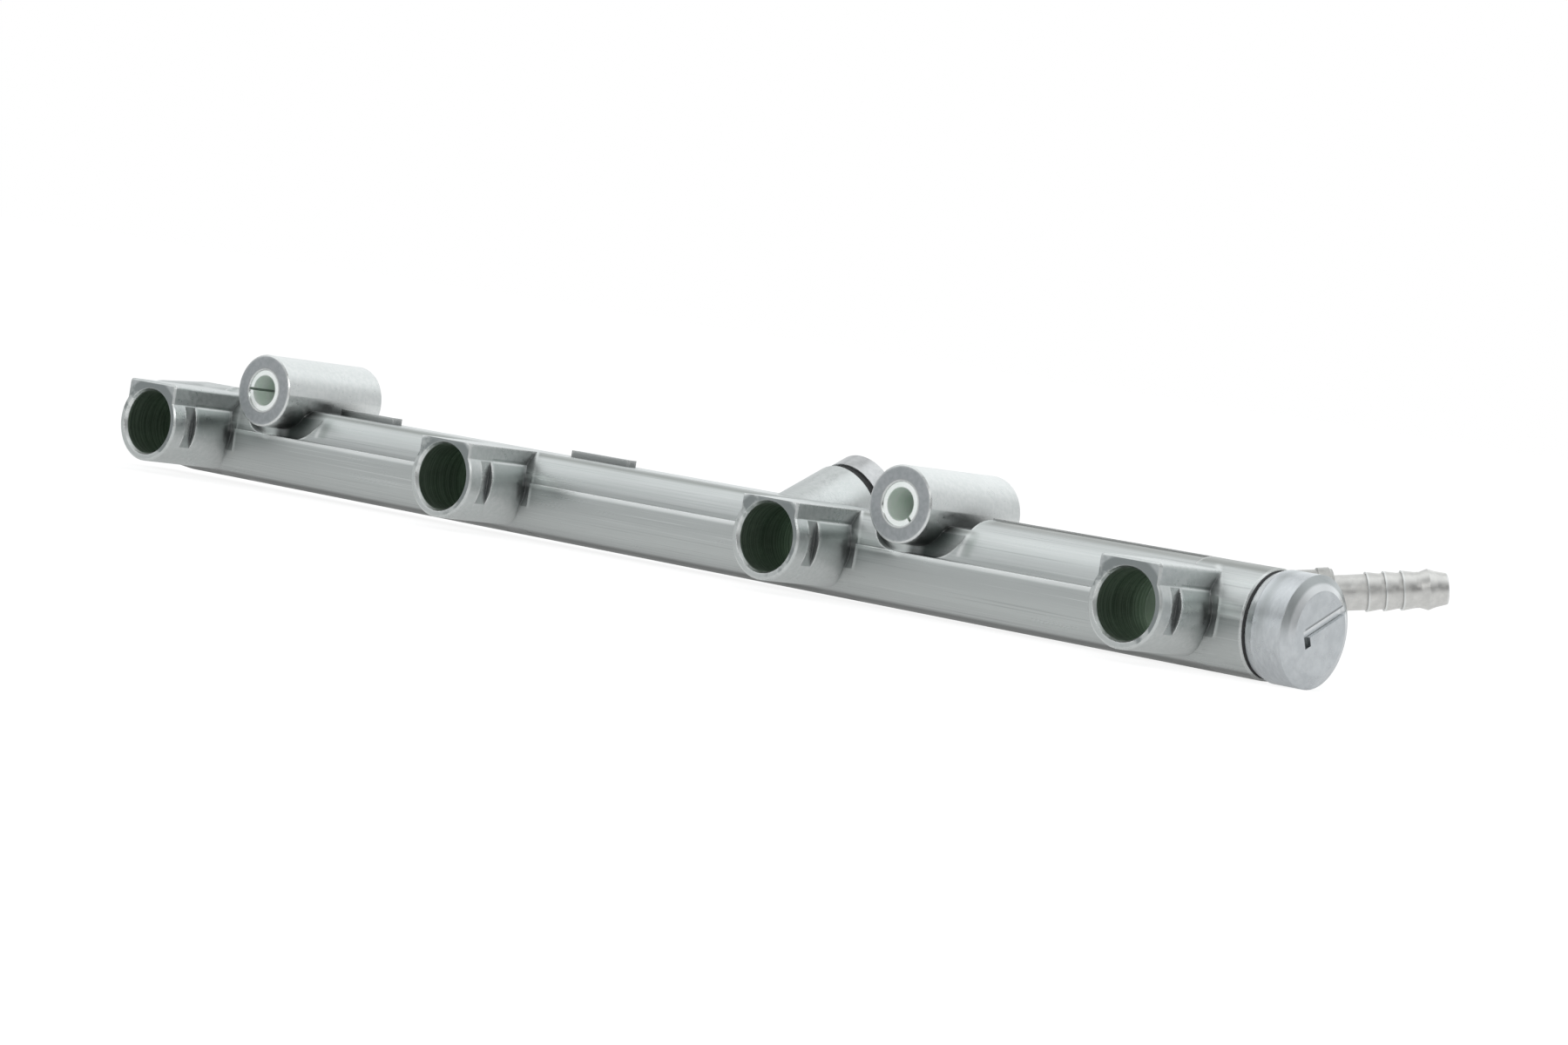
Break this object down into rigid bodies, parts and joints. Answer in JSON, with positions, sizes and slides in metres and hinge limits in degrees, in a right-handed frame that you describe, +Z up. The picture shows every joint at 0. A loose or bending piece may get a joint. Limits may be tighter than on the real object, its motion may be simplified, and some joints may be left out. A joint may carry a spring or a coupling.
{
  "type": "fuel rail",
  "caption": "Aluminium fuel rail: a straight tube with injector cups on the front, round mounting bosses, a capped rear port and a barbed hose fitting.",
  "frame": {"origin": "on the axis of the left bolt hole, at the front end of its sleeve", "axes": "+X along the rail from cup 1 to the slotted end plug, -Y out of the injector cups, +Z up, from the tube towards the mounting bosses"},
  "size_m": [0.3166, 0.0678, 0.029],
  "materials": {
    "rail_aluminium": "satin, drawn along the rail and machined",
    "plug_aluminium": "satin, turned",
    "sleeve_steel": "bright, rolled",
    "port_steel": "plated, bright",
    "fitting_metal": "satin",
    "nipple_steel": "plated, satin",
    "core_plug_metal": "pressed, satin",
    "seal_rubber": "matt"
  },
  "bodies": {
    "root": {"rail_body": "rail_aluminium", "end_plug": "plug_aluminium", "end_plug_seal": "seal_rubber", "left_plug": "core_plug_metal", "mount_sleeve_left": "sleeve_steel", "mount_sleeve_right": "sleeve_steel", "port_plug": "port_steel", "port_plug_seal": "seal_rubber", "inlet_elbow": "fitting_metal", "inlet_seal": "seal_rubber", "hose_nipple": "nipple_steel"}
  },
  "joints": []
}
